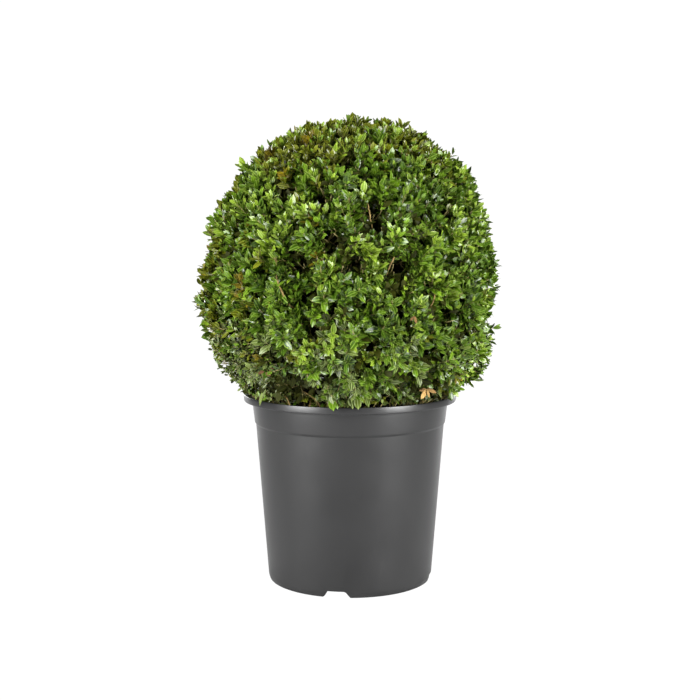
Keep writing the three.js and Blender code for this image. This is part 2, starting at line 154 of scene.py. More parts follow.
# Small holes near the ball's edge that the sky shows through, as X, Z and radius where they cross Y = 0.
SKY_HOLES = [
    (140.7, 280.2, 2.6), (138.2, 268, 2), (142, 245, 2.6), (154.8, 332.2, 1.8), (-157.4, 283, 2.6),
    (-147, 277.2, 2.4), (-142, 245.8, 2.4), (-169, 328.6, 1.6), (-137.4, 227.1, 2),
]

# Clumps of fresh yellow-green growth, as lean, azimuth and radius on the surface.
FRESH_CLUMPS = [
    (50, -133, 17), (63, -124, 9), (58, -109, 8), (77, -97, 12), (69, -59, 12), (84, -56, 10), (91, -62, 10),
    (85, -68, 9), (81, -83, 9), (50, -145, 8), (106, -100, 10), (109, -108, 10), (116, -73, 10), (72, -47, 9),
    (60, 70, 14), (88, 110, 12), (75, 20, 11), (95, 160, 13), (104, 50, 12), (48, 150, 12),
]

# Bare stems that show in some openings, as rows of lean, azimuth and depth.
SHOWN_STEMS = [
    [(99, -110, 40), (93, -114, 17), (88, -116, 11), (83, -118, 10), (77, -119, 12), (70, -121, 15)],
    [(77, -119, 12), (73, -123, 14), (69, -130, 15)],
    [(84, -76, 34), (79, -75, 16), (75, -73, 12)],
    [(100, -60, 40), (94, -58, 14), (91, -57, 11), (87, -56, 12)],
    [(68, -80, 42), (63, -80, 27), (58, -81, 22), (54, -82, 17)],
]

# Stems that show at the front foot and face, as points with the stem's radius at its foot.
FRONT_STEMS = [
    ([(-43.7, -90, 226), (-43.1, -91.3, 219), (-42.4, -92.8, 204)], 1.3),
    ([(-88.5, -54.6, 221.5), (-74.1, -78.5, 222.1), (-67.3, -87, 219), (-61.8, -91, 205)], 0.8),
    ([(-27.1, -122, 270.3), (-26.1, -119, 258.5), (-25.2, -113, 245.1), (-22, -96, 226)], 1.2),
    ([(-26, -121, 265.2), (-19.7, -124, 266.7), (-14.5, -127, 264.9)], 0.6),
    ([(-49.7, -100.4, 227.9), (-40.1, -102.4, 221.8), (-33.9, -100.4, 216.2), (-30, -92, 205)], 0.6),
    ([(-12.6, -112.3, 232.8), (-11.6, -110.4, 224), (-7.4, -107.7, 217.3), (-5, -96, 205)], 0.6),
    ([(79.8, -72.8, 236), (80.4, -71, 226), (78, -66, 206)], 1),
]

# Leaves that hang over the front of the rim and a dead sprig, as root, tip, width, kind and tint.
FRONT_LEAVES = [
    ((-100.5, -60, 222.2), (-102.5, -66.2, 213.2), 4.2, "dull", 0.6),
    ((-94.6, -68.8, 223.5), (-97.6, -74.6, 208.2), 4.4, "dull", 0.8),
    ((-90.6, -72.4, 226.2), (-94.3, -75.4, 216.6), 3.8, "dull", 0.4),
    ((-19.9, -111.2, 223.1), (-30.9, -113.8, 223.7), 6.2, "mid", 0.5),
    ((-19.9, -111.2, 223.1), (-12, -116.4, 234.9), 6, "mid", 0.4),
    ((-19.4, -112.3, 222.2), (-17.2, -122.3, 210), 9, "mid", 0.65),
    ((-18.9, -111.2, 223.1), (-8.9, -115.4, 227), 5.6, "mid", 0.3),
    ((7.3, -114.8, 223.6), (8.7, -122.6, 211.6), 8, "dull", 0.7),
    ((-1, -115, 221.5), (-2.4, -121, 213.3), 4.2, "dull", 0.4),
    ((2.1, -115, 220.5), (2.7, -122, 211.9), 4.2, "dull", 0.9),
    ((16.8, -113.8, 222.4), (19.9, -119.3, 213.8), 5, "dull", 0.5),
    ((82.5, -88, 228), (75, -98, 219), 5.6, "dry", 0.9),
    ((82.5, -88, 228), (92.5, -87, 224), 4.4, "dry", 0.5),
    ((82.5, -88, 228), (73.5, -95, 227.5), 3.8, "dry", 0.3),
    ((82.5, -88, 228), (84, -95, 220), 3.6, "dry", 0.7),
    ((82.5, -88, 228.5), (90, -87, 233), 3.6, "dry", 0.2),
    ((66, -146, 311), (61, -150, 307), 2.8, "dry", 0.05),
    ((66, -146, 311), (67, -152, 304), 3, "dry", 0.3),
    ((-96, -118, 249), (-89, -123, 251.5), 3.6, "dry", -0.2),
    ((-88, -122, 250), (-82, -126, 247.5), 3.4, "dry", 0),
    ((-84, -122, 252), (-79, -126, 255), 3.4, "dry", 0),
    ((100, -62, 228), (106.5, -64.5, 217), 4.6, "olive", 0.6),
    ((104, -56, 230), (112, -58, 220), 4.6, "mid", 0.4),
    ((94, -70, 228), (98.5, -77, 217), 4.6, "dull", 0.6),
    ((108, -50, 231), (115, -52, 223), 4.2, "olive", 0.3),
]

# The foot of the crown: fine twigs from the compost out over the rim, with small dull leaves.
SKIRT_SHOOTS = 200
# A share of the skirt's leaves are near-black, as painted shade under the crown.
SKIRT_KINDS = {"dull": 0.38, "olive": 0.17, "mid": 0.17, "deep": 0.16, "painted_shade": 0.12}

# The pairs of leaves on a shoot, from the lowest up: length, lean in radians and place along it.
OUTER_PAIRS = [
    (9.5, 1.2, 0.2), (10.8, 1.15, 0.33), (11.8, 1.1, 0.45), (12.5, 1.02, 0.57), (12.7, 0.94, 0.68),
    (12.1, 0.84, 0.79), (10.6, 0.66, 0.9), (7.6, 0.36, 1.0),
]
INNER_PAIRS = [(11, 1.3, 0.35), (12, 1.15, 0.6), (12, 1.0, 0.8), (10.5, 0.8, 1.0)]
SKIRT_PAIRS = [(7, 1.2, 0.5), (8.5, 1.1, 0.7), (9, 1.0, 0.87), (7, 0.7, 1.0)]

# How leaves vary. Pairs are a mean and its spread.
LEAF_WIDTH = 0.46  # times its length
LENGTH_SPREAD = 0.18
TILT_SPREAD = 0.13
TURN_SPREAD = 0.18
TINT_SPREAD = 0.23
LEAF_DROOP = (0.10, 0.12)
LEAF_CUP = (0.18, 0.22)
LEAF_GAPS = 0.04  # the share of leaves left out

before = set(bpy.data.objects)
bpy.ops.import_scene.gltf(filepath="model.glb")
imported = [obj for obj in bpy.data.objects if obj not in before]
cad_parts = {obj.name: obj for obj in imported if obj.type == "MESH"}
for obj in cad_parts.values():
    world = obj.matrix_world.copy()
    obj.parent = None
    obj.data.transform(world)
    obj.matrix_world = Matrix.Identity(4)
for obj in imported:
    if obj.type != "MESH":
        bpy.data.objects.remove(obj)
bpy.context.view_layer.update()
rng = np.random.default_rng(SEED)
noise.seed_set(SEED)


# Arrays of vectors.


def unit(vectors):
    return vectors / np.maximum(np.linalg.norm(vectors, axis=-1, keepdims=True), 1e-9)


def direction_of(polar, azimuth):
    level = np.sin(polar)
    return np.stack([level * np.cos(azimuth), level * np.sin(azimuth), np.cos(polar)], -1)


def directions_to(rows):
    """The directions of rows that start with a lean and an azimuth in degrees."""
    return direction_of(*np.radians(rows[:, :2].T))


def crown_reach(directions):
    """How far the clipped surface lies from the crown's centre."""
    level = np.hypot(directions[..., 0], directions[..., 1])
    upper = directions[..., 2] > 0
    height = np.where(upper, CROWN_RISE, CROWN_DROP)
    power = np.where(upper, UPPER_ROUNDNESS, LOWER_ROUNDNESS)
    total = (level / CROWN_RADIUS) ** power + (np.abs(directions[..., 2]) / height) ** power
    angle = np.arccos(np.clip(directions @ directions_to(CROWN_SHAPE).T, -1, 1))
    return total ** (-1 / power) + np.exp(-((angle / np.radians(CROWN_SHAPE[:, 2])) ** 2)) @ CROWN_SHAPE[:, 3]


def crown_point(directions, depth=0):
    reach = crown_reach(directions) - depth
    return CROWN_CENTRE + directions * reach[..., None]


def spread_directions(count, foot_angle, jitter):
    """Directions evenly spread from straight up down to the foot angle, moved a little at random."""
    index = np.arange(count)
    height = 1 - (index + 0.5) / count * (1 - math.cos(foot_angle))
    directions = direction_of(np.arccos(height), index * GOLDEN_ANGLE)
    step = math.sqrt(2 * math.pi * (1 - math.cos(foot_angle)) / count)
    return unit(directions + rng.normal(0, jitter * step, directions.shape))


def nearest(points, others, count=1):
    """The indices of the nearest others to each point, and how far they lie."""
    index = np.empty((len(points), count), int)
    away = np.empty((len(points), count))
    for start in range(0, len(points), 500):
        part = points[start : start + 500]
        far = np.linalg.norm(part[:, None] - others[None], axis=2)
        order = np.argsort(far, axis=1)[:, :count]
        index[start : start + 500] = order
        away[start : start + 500] = np.take_along_axis(far, order, 1)
    return index, away


def bezier(ends, count):
    """Points along curves given by their foot, bend and tip, each an array of vectors."""
    foot, bend, tip = (np.asarray(p, float)[..., None, :] for p in ends)
    t = np.linspace(0, 1, count)[:, None]
    return foot * (1 - t) ** 2 + 2 * bend * t * (1 - t) + tip * t**2


# Meshes.


def add_object(name, data):
    made = bpy.data.objects.new(name, data)
    bpy.context.scene.collection.objects.link(made)
    return made


def solid(name, points, faces):
    """An object from points in millimetres and faces of any number of sides."""
    mesh = bpy.data.meshes.new(name)
    mesh.from_pydata((np.array(points) * MM).tolist(), [], faces)
    mesh.update()
    return add_object(name, mesh)


def make_piece(name, points, triangles, material, uvs=None, tints=None):
    """One joined mesh from points in millimetres, with its UVs and its tints by point."""
    points, corners = np.asarray(points), np.asarray(triangles).ravel()
    count = len(corners) // 3
    mesh = bpy.data.meshes.new(name)
    mesh.vertices.add(len(points))
    mesh.vertices.foreach_set("co", (points * MM).astype(np.float32).ravel())
    mesh.loops.add(len(corners))
    mesh.loops.foreach_set("vertex_index", corners.astype(np.int32))
    mesh.polygons.add(count)
    mesh.polygons.foreach_set("loop_start", np.arange(0, 3 * count, 3, dtype=np.int32))
    mesh.polygons.foreach_set("use_smooth", np.ones(count, bool))
    if uvs is not None:
        layer = mesh.uv_layers.new(name="Leaf")
        layer.uv.foreach_set("vector", uvs[corners].astype(np.float32).ravel())
    if tints is not None:
        tint = mesh.attributes.new("tint", "FLOAT", "POINT")
        tint.data.foreach_set("value", tints.astype(np.float32))
    mesh.update(calc_edges=True)
    mesh.materials.append(material)
    piece = add_object(name, mesh)
    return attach(piece, "root")


class Joined:
    """Collects many small meshes of one kind."""

    def __init__(self):
        self.points, self.triangles, self.uvs, self.tints = [], [], [], []
        self.count = 0

    def add(self, points, triangles, uvs=None, tints=None):
        """points is (copies, corners, 3), and each copy has the same triangles."""
        copies, corners = points.shape[:2]
        offsets = self.count + corners * np.arange(copies)
        self.points.append(points.reshape(-1, 3))
        self.triangles.append((offsets[:, None, None] + triangles[None]).reshape(-1, 3))
        if uvs is not None:
            self.uvs.append(np.tile(uvs, (copies, 1)))
        if tints is not None:
            self.tints.append(np.repeat(tints, corners))
        self.count += copies * corners

    def piece(self, name, material, slot):
        lists = (self.points, self.triangles, self.uvs, self.tints)
        points, triangles, uvs, tints = (np.concatenate(part) if part else None for part in lists)
        return make_piece(name, points, triangles, material, uvs, tints)


def tubes(paths, radii, sides):
    """Tapering tubes along paths (copies, steps, 3), by radii (copies, steps), and their triangles."""
    steps = paths.shape[1]
    along = np.empty_like(paths)
    along[:, 1:-1] = paths[:, 2:] - paths[:, :-2]
    along[:, 0] = paths[:, 1] - paths[:, 0]
    along[:, -1] = paths[:, -1] - paths[:, -2]
    along = unit(along)
    whole = unit(paths[:, -1] - paths[:, 0])
    side = unit(np.cross(whole, [0.31, 0.87, 0.39]))[:, None, :]
    side = unit(side - along * (side * along).sum(-1, keepdims=True))
    across = np.cross(along, side)
    turn = 2 * np.pi * np.arange(sides) / sides
    ring = side[:, :, None] * np.cos(turn)[:, None] + across[:, :, None] * np.sin(turn)[:, None]
    points = paths[:, :, None] + ring * radii[:, :, None, None]
    points = points.reshape(len(paths), steps * sides, 3)
    index = []
    for i in range(steps - 1):
        for j in range(sides):
            a, b = i * sides + j, i * sides + (j + 1) % sides
            index += [(a, b, b + sides), (a, b + sides, a + sides)]
    end = (steps - 1) * sides
    for j in range(1, sides - 1):
        index += [(0, j + 1, j), (end, end + j, end + j + 1)]
    return points, np.array(index)


# Leaves: two halves that meet in a crease at the midrib, pointed at both ends, twelve faces in all.
SECTIONS = np.array([0, 0.2, 0.47, 0.76, 1.0])
HALF_WIDTHS = np.array([0, 0.34, 0.5, 0.39, 0])


def leaf_template():
    """Along, across and edge share of each corner, the triangles, and the UVs."""
    last = len(SECTIONS) - 1
    corners = [(share, 0.0, 0.0) for share in SECTIONS]
    triangles = []
    for hand in (-1, 1):
        edge = len(corners) - 1  # so that edge + i is the edge corner of section i
        corners += [(SECTIONS[i], hand * HALF_WIDTHS[i], hand) for i in range(1, last)]
        faces = [(0, edge + 1, 1), (last - 1, edge + last - 1, last)]
        for i in range(1, last - 1):
            faces += [(i, edge + i, edge + i + 1), (i, edge + i + 1, i + 1)]
        triangles += faces if hand < 0 else [face[::-1] for face in faces]
    corners = np.array(corners)
    uvs = np.stack([0.5 + 0.5 * corners[:, 2], corners[:, 0]], -1)
    return corners, np.array(triangles), uvs


LEAF_CORNERS, LEAF_TRIANGLES, LEAF_UVS = leaf_template()


def leaf_points(roots, alongs, uppers, lengths, widths, droop, cup):
    """The corners of many leaves. droop bends the blade down along its length, cup lifts its edges."""
    along = unit(alongs)
    upper = unit(uppers - along * (uppers * along).sum(-1, keepdims=True))
    across = np.cross(upper, along)
    x, y, edge = LEAF_CORNERS.T
    length, width = lengths[:, None], widths[:, None]
    reach = length * (x - 0.12 * np.abs(droop[:, None]) * x**2)
    rise = length * (-droop[:, None] * x**2) + width * cup[:, None] * np.abs(y)
    sideways = width * y
    return (
        roots[:, None]
        + along[:, None] * reach[..., None]
        + upper[:, None] * rise[..., None]
        + across[:, None] * sideways[..., None]
    )


# Materials.


def material_nodes(name):
    """A new material with its node tree and its shader."""
    material = bpy.data.materials.new(name)
    material.use_nodes = True
    return material, material.node_tree, material.node_tree.nodes["Principled BSDF"]


def link(source, target):
    source.id_data.links.new(source, target)


def noise_node(tree, scale, detail=3, roughness=0.55, stretch=None):
    """Noise by place on the object, with the scale in cycles per metre."""
    source = tree.nodes.new("ShaderNodeTexCoord").outputs["Object"]
    if stretch is not None:
        mapping = tree.nodes.new("ShaderNodeMapping")
        mapping.inputs["Scale"].default_value = stretch
        link(source, mapping.inputs["Vector"])
        source = mapping.outputs["Vector"]
    made = tree.nodes.new("ShaderNodeTexNoise")
    for socket, value in (("Scale", scale), ("Detail", detail), ("Roughness", roughness)):
        made.inputs[socket].default_value = value
    link(source, made.inputs["Vector"])
    return made.outputs["Fac"]


def ramp_node(source, stops):
    """A colour ramp through (place, colour) stops."""
    made = source.id_data.nodes.new("ShaderNodeValToRGB")
    elements = made.color_ramp.elements
    while len(elements) < len(stops):
        elements.new(0.5)
    for element, (place, colour) in zip(elements, stops):
        element.position = place
        element.color = (*colour, 1)
    link(source, made.inputs["Fac"])
    return made.outputs["Color"]


def range_node(source, low, high, to_low, to_high):
    made = source.id_data.nodes.new("ShaderNodeMapRange")
    for socket, value in (("From Min", low), ("From Max", high), ("To Min", to_low), ("To Max", to_high)):
        made.inputs[socket].default_value = value
    link(source, made.inputs["Value"])
    return made.outputs["Result"]


def mix_node(factor, first, second):
    """The second, a plain colour, over the first by the factor."""
    made = factor.id_data.nodes.new("ShaderNodeMix")
    made.data_type = "RGBA"
    link(factor, made.inputs["Factor"])
    link(first, made.inputs[6])
    made.inputs[7].default_value = (*second, 1)
    return made.outputs[2]


def maths_node(operation, first, second=0.0):
    made = first.id_data.nodes.new("ShaderNodeMath")
    made.operation = operation
    link(first, made.inputs[0])
    if isinstance(second, float):
        made.inputs[1].default_value = second
    else:
        link(second, made.inputs[1])
    return made.outputs["Value"]


def bump(shader, height, distance, strength):
    made = height.id_data.nodes.new("ShaderNodeBump")
    made.inputs["Distance"].default_value = distance
    made.inputs["Strength"].default_value = strength
    link(height, made.inputs["Height"])
    link(made.outputs["Normal"], shader.inputs["Normal"])


def pot_plastic():
    """Dark grey moulded plastic: satin, with a faint mottle, a fine grain and light scuffs."""
    material, tree, shader = material_nodes("pot_plastic")
    mottle = noise_node(tree, 22, 4)
    grey = ramp_node(mottle, [(0.3, (0.0036, 0.0036, 0.0038)), (0.7, (0.0062, 0.0062, 0.0064))])
    scuffs = noise_node(tree, 60, 6, 0.7, (1, 1, 0.25))
    marks = range_node(scuffs, 0.62, 0.78, 0, 0.35)
    link(mix_node(marks, grey, (0.022, 0.022, 0.0215)), shader.inputs["Base Color"])
    shader.inputs["Specular IOR Level"].default_value = 0.62
    link(range_node(mottle, 0.3, 0.7, 0.31, 0.37), shader.inputs["Roughness"])
    bump(shader, noise_node(tree, 1400, 2), 0.0001, 0.35)
    return material


def compost():
    """Dark crumbly compost with paler fibres."""
    material, tree, shader = material_nodes("compost")
    clods = noise_node(tree, 160, 5, 0.65)
    brown = [(0.3, (0.006, 0.004, 0.003)), (0.55, (0.028, 0.016, 0.009)), (0.8, (0.075, 0.045, 0.026))]
    link(ramp_node(clods, brown), shader.inputs["Base Color"])
    shader.inputs["Roughness"].default_value = 0.95
    bump(shader, noise_node(tree, 900, 3), 0.0008, 0.8)
    return material


def bark(name, dark, light, rough=0.85):
    """Bark with lengthwise streaks, from dark in its cracks to light on its ridges."""
    material, tree, shader = material_nodes(name)
    streaks = noise_node(tree, 420, 5, 0.65, (1, 1, 0.3))
    middle = tuple((a + b) / 2 for a, b in zip(dark, light))
    link(ramp_node(streaks, [(0.3, dark), (0.5, middle), (0.72, light)]), shader.inputs["Base Color"])
    shader.inputs["Roughness"].default_value = rough
    bump(shader, streaks, 0.0006, 0.7)
    return material


def leaf_material(name, dark, light, rib_and_highlight, rough=0.29, gloss=0.45):
    """A leaf: its green runs from dark to light by the leaf's own tint; its paler rib and margin are partly a
    painted highlight.
    """
    material, tree, shader = material_nodes("leaf_" + name)
    own = tree.nodes.new("ShaderNodeAttribute")
    own.attribute_name = "tint"
    patches = noise_node(tree, 260, 3)
    shade = maths_node("MULTIPLY_ADD", patches, 0.5)
    shade.node.inputs[2].default_value = -0.25
    green = ramp_node(maths_node("ADD", own.outputs["Fac"], shade), [(0.0, dark), (1.0, light)])
    place = tree.nodes.new("ShaderNodeUVMap")
    place.uv_map = "Leaf"
    split = tree.nodes.new("ShaderNodeSeparateXYZ")
    link(place.outputs["UV"], split.inputs["Vector"])
    from_rib = maths_node("ABSOLUTE", maths_node("SUBTRACT", split.outputs["X"], 0.5))
    on_rib = range_node(from_rib, 0.02, 0.09, 0.7, 0)
    # The pale margin is partly a painted highlight along the leaf's edge.
    edge_highlight = range_node(from_rib, 0.32, 0.5, 0, 0.72)
    link(mix_node(maths_node("MAXIMUM", on_rib, edge_highlight), green, rib_and_highlight), shader.inputs["Base Color"])
    link(range_node(patches, 0.3, 0.7, rough - 0.06, rough + 0.08), shader.inputs["Roughness"])
    shader.inputs["Specular IOR Level"].default_value = gloss
    bump(shader, patches, 0.0006, 0.25)
    return material


# Each kind's dark, light and rib colours, and for some their roughness and gloss; the rib colour is partly a
# painted highlight.
LEAF_COLOURS = {
    # The deep kind is partly a darker tone at random and partly painted shade, in the hollows and on the
    # ball's sides.
    "deep": [(0.010, 0.028, 0.0003), (0.044, 0.104, 0.0015), (0.13, 0.20, 0.028)],
    "mid": [(0.019, 0.051, 0.0003), (0.098, 0.196, 0.0030), (0.25, 0.35, 0.060)],
    "olive": [(0.024, 0.036, 0.0002), (0.104, 0.122, 0.0016), (0.27, 0.29, 0.040)],
    "fresh": [(0.050, 0.104, 0.0014), (0.180, 0.285, 0.0100), (0.39, 0.48, 0.11)],
    "bronze": [(0.036, 0.032, 0.0005), (0.145, 0.112, 0.0018), (0.24, 0.19, 0.02)],
    "dull": [(0.018, 0.031, 0.0018), (0.108, 0.154, 0.0180), (0.31, 0.37, 0.15), 0.36, 0.38],
    "dry": [(0.032, 0.014, 0.004), (0.50, 0.32, 0.110), (0.20, 0.085, 0.025), 0.7, 0.2],
    # The near-black kind is painted shade, for leaves inside the ball, in the hollows and under the crown.
    "painted_shade": [(0.008, 0.010, 0.0006), (0.024, 0.028, 0.0015), (0.03, 0.035, 0.004), 0.6, 0.1],
}
LEAF_KINDS = {name: leaf_material(name, *look) for name, look in LEAF_COLOURS.items()}
BARK = bark("bark", (0.04, 0.022, 0.010), (0.33, 0.24, 0.12))
TWIG_BARK = bark("twig_bark", (0.055, 0.032, 0.009), (0.36, 0.245, 0.075))
YOUNG_WOOD = bark("young_wood", (0.07, 0.065, 0.015), (0.32, 0.26, 0.09), 0.6)


# The pot.


def rounded(outline, steps=4):
    """The outline with each corner rounded by its own size."""
    made = []
    count = len(outline)
    for i, (radius, height, size) in enumerate(outline):
        here = np.array([radius, height], float)
        if size == 0 or i in (0, count - 1):
            made.append(tuple(here))
            continue
        before = np.array(outline[i - 1][:2], float) - here
        after = np.array(outline[i + 1][:2], float) - here
        cut = min(size, 0.45 * np.linalg.norm(before), 0.45 * np.linalg.norm(after))
        start, end = here + unit(before) * cut, here + unit(after) * cut
        for t in np.linspace(0, 1, steps + 1):
            made.append(tuple(start * (1 - t) ** 2 + 2 * here * t * (1 - t) + end * t**2))
    return made


def lathe(outline, segments):
    """A closed form turned round the Z axis, whose outline starts and ends on the axis."""
    rows = outline[1:-1]
    turn = 2 * np.pi * np.arange(segments) / segments
    points = [(0, 0, outline[0][1]), (0, 0, outline[-1][1])]
    for radius, height in rows:
        points += [(radius * c, radius * s, height) for c, s in zip(np.cos(turn), np.sin(turn))]
    faces = []
    for j in range(segments):
        k = (j + 1) % segments
        faces.append((0, 2 + k, 2 + j))
        last = 2 + (len(rows) - 1) * segments
        faces.append((1, last + j, last + k))
        for i in range(len(rows) - 1):
            a = 2 + i * segments
            faces.append((a + j, a + k, a + segments + k, a + segments + j))
    return solid("blank", points, faces)


def prism(outline, low, high):
    """A closed block from an outline in X and Z, between two Y values."""
    count = len(outline)
    points = [(x, low, z) for x, z in outline] + [(x, high, z) for x, z in outline]
    faces = [tuple(range(count)), tuple(range(2 * count - 1, count - 1, -1))]
    faces += [(i, i + count, (i + 1) % count + count, (i + 1) % count) for i in range(count)]
    return points, faces


def pot_cutters():
    """The foot notches and the drain holes as one mesh."""
    points, faces = [], []

    def add(block, turn):
        corners, sides = block
        first = len(points)
        c, s = math.cos(turn), math.sin(turn)
        points.extend((x * c - y * s, x * s + y * c, z) for x, y, z in corners)
        faces.extend(tuple(first + i for i in side) for side in sides)

    left, right = NOTCH_FOOT
    notch = [(left - 6, -2, 0), (left - 3, 0, 2), (left, 2.2, 2), (NOTCH_TOP[0], NOTCH_HEIGHT, 1.5)]
    notch += [(NOTCH_TOP[1], NOTCH_HEIGHT, 2.5), (right, 0, 0.5), (right, -2, 0)]
    for i in range(NOTCHES):
        add(prism(rounded(notch)[::-1], -100, -76), NOTCH_TURN + 2 * math.pi * i / NOTCHES)
    ring = range(HOLE_SEGMENTS)
    for i in range(DRAIN_HOLES):
        turn = 2 * math.pi * (i + 0.5) / DRAIN_HOLES
        middle_x, middle_y = DRAIN_CIRCLE * math.cos(turn), DRAIN_CIRCLE * math.sin(turn)
        low = len(points)
        high = low + HOLE_SEGMENTS
        for z in (FLOOR_UNDERSIDE - 2, FLOOR_TOP + 2):
            for k in ring:
                a = 2 * math.pi * k / HOLE_SEGMENTS
                x, y = middle_x + DRAIN_RADIUS * math.cos(a), middle_y + DRAIN_RADIUS * math.sin(a)
                points.append((x, y, z))
        faces.append(tuple(low + k for k in reversed(ring)))
        faces.append(tuple(high + k for k in ring))
        for k in ring:
            after = (k + 1) % HOLE_SEGMENTS
            faces.append((low + k, low + after, high + after, high + k))
    return solid("cutters", points, faces)


def make_pot():
    outline = [(0, FLOOR_UNDERSIDE, 0), (RING_INNER, FLOOR_UNDERSIDE, 0.8)]
    outline += POT_OUTSIDE + POT_INSIDE + [(0, FLOOR_TOP, 0)]
    blank = lathe(rounded(outline), POT_SEGMENTS)
    cutters = pot_cutters()
    cut = blank.modifiers.new("cut", "BOOLEAN")
    cut.operation = "DIFFERENCE"
    cut.solver = "EXACT"
    cut.object = cutters
    bpy.context.view_layer.update()
    graph = bpy.context.evaluated_depsgraph_get()
    mesh = bpy.data.meshes.new_from_object(blank.evaluated_get(graph))
    for old in (blank, cutters):
        bpy.data.objects.remove(old)
    mesh.name = "pot_shell"
    mesh.materials.clear()
    mesh.materials.append(pot_plastic())
    mesh.polygons.foreach_set("use_smooth", np.ones(len(mesh.polygons), bool))
    mesh.set_sharp_from_angle(angle=math.radians(38))
    piece = add_object("pot_shell", mesh)
    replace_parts(piece, "pot")
    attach(piece, "root")


make_pot()


# The compost: an uneven bed with loose crumbs on it.


def soil_height(x, y):
    place = Vector((x * 0.05, y * 0.05, 3.7))
    edge = max(0, math.hypot(x, y) - SOIL_EDGE) / 16
    return SOIL_TOP + 2.2 * noise.noise(place) + 1.3 * noise.noise(place * 4) - 1.4 * edge


def make_soil():
    rings, sectors = 44, 120
    points = [(0, 0, soil_height(0, 0))]
    for i in range(1, rings + 1):
        radius = SOIL_RADIUS * i / rings
        for j in range(sectors):
            a = 2 * math.pi * j / sectors
            x, y = radius * math.cos(a), radius * math.sin(a)
            points.append((x, y, soil_height(x, y)))
    triangles = []
    for j in range(sectors):
        k = (j + 1) % sectors
        triangles.append((0, 1 + j, 1 + k))
        for i in range(rings - 1):
            a = 1 + i * sectors
            triangles += [(a + j, a + sectors + j, a + sectors + k), (a + j, a + sectors + k, a + k)]
    # A skirt closes the bed down to the pot's floor.
    last = 1 + (rings - 1) * sectors
    first = len(points)
    points += [(x * 0.82, y * 0.82, FLOOR_TOP + 1.0) for x, y, z in points[last:]]
    for j in range(sectors):
        k = (j + 1) % sectors
        triangles += [(last + j, first + j, first + k), (last + j, first + k, last + k)]
    material = compost()
    bed = make_piece("compost_bed", points, triangles, material)
    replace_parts(bed, "soil")

    crumbs = Joined()
    block = np.array(
        [(1, 1, 1), (1, -1, -1), (-1, 1, -1), (-1, -1, 1), (1.3, 0, 0), (-1.3, 0, 0), (0, 1.3, 0),
         (0, -1.3, 0), (0, 0, 1.3), (0, 0, -1.3)]
    )
    faces = np.array(
        [(0, 4, 6), (0, 8, 4), (0, 6, 8), (1, 4, 7), (1, 9, 4), (1, 7, 9), (2, 5, 9), (2, 6, 5), (2, 9, 6),
         (3, 5, 8), (3, 7, 5), (3, 8, 7), (4, 9, 6), (4, 8, 7), (5, 6, 8), (5, 7, 9)]
    )
    radius = CRUMB_REACH * np.sqrt(rng.random(CRUMBS))
    turn = 2 * np.pi * rng.random(CRUMBS)
    x, y = radius * np.cos(turn), radius * np.sin(turn)
    size = 0.7 + 2.2 * rng.random(CRUMBS) ** 3
    z = np.array([soil_height(a, b) for a, b in zip(x, y)])
    sizes = size[:, None] * (0.6 + 0.8 * rng.random((CRUMBS, 3)))
    clumps = block[None] * (0.75 + 0.5 * rng.random((CRUMBS, 10, 1))) * sizes[:, None]
    axis = unit(rng.normal(0, 1, (CRUMBS, 3)))
    side = unit(np.cross(axis, rng.normal(0, 1, (CRUMBS, 3))))
    basis = np.stack([axis, side, np.cross(axis, side)], 1)
    clumps = np.einsum("nij,njk->nik", clumps, basis)
    clumps += np.stack([x, y, z + 0.35 * size], -1)[:, None]
    crumbs.add(clumps, faces)
    crumbs.piece("compost_crumbs", material, "compost")


make_soil()


# The stem and the boughs, with the bark's relief.


def make_wood(name, node, path, radii, sides, depth, scale, seed):
    """A limb in place of its node, its surface pushed in and out in lengthwise ridges."""
    points, triangles = tubes(path, radii, sides)
    rings = points.reshape(path.shape[1], sides, 3)
    for i, middle in enumerate(path[0]):
        for j in range(sides):
            a = 2 * math.pi * j / sides
            place = Vector((math.cos(a) * scale, math.sin(a) * scale, i * 0.12 + seed))
            push = 1 + depth * noise.noise(place) + 0.4 * depth * noise.noise(place * 2.7)
            rings[i, j] = middle + (rings[i, j] - middle) * push
    wood = Joined()
    wood.add(rings.reshape(1, -1, 3), triangles)
    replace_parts(wood.piece(name, BARK, "bark"), node)


def make_trunk():
    shares = np.linspace(0, 1, 40)
    heights = TRUNK_FOOT - 0.5 + (TRUNK_TOP - TRUNK_FOOT + 0.5) * shares
    path = np.stack([TRUNK_LEAN[0] * shares**2, TRUNK_LEAN[1] * shares**2, heights], -1)[None]
    radii = np.interp(shares, TRUNK_HEIGHTS, TRUNK_RADII)[None] * 0.97
    make_wood("trunk_bark", "trunk", path, radii, 40, 0.11, 2.2, 0.5)


def make_bough(name, seed):
    path = bezier(BOUGHS[name], BOUGH_STEPS)[None]
    path[0, 0] = path[0, 1] * 0.2 + path[0, 0] * 0.8
    wander = np.array([noise.noise_vector(Vector((i * 0.11, seed, 2.0))) for i in range(BOUGH_STEPS)])
    path[0] += 2.2 * wander * np.sin(np.linspace(0, math.pi, BOUGH_STEPS))[:, None]
    shares = np.linspace(0, 1, BOUGH_STEPS)
    radii = (BOUGH_RADII[0] + (BOUGH_RADII[1] - BOUGH_RADII[0]) * shares) * (1 + 0.35 * np.exp(-shares * 14))
    make_wood("bough_bark_" + name, "bough_" + name, path, radii[None] * 0.97, 20, 0.14, 1.6, seed)


make_trunk()
for number, side in enumerate(BOUGHS):
    make_bough(side, 3.0 + number)


# Growth. Each limb starts at the tip of its mass's bough, each spray on its limb, each shoot on its spray.


def mass_of(directions):
    """The index of each direction's mass: 0 for the cap, then the six sectors."""
    polar = np.arccos(np.clip(directions[:, 2], -1, 1))
    azimuth = np.arctan2(directions[:, 1], directions[:, 0])
    sector = np.round((azimuth + math.pi / 2) / (math.pi / 3)).astype(int) % 6
    return np.where(polar < CAP_ANGLE, 0, 1 + sector)


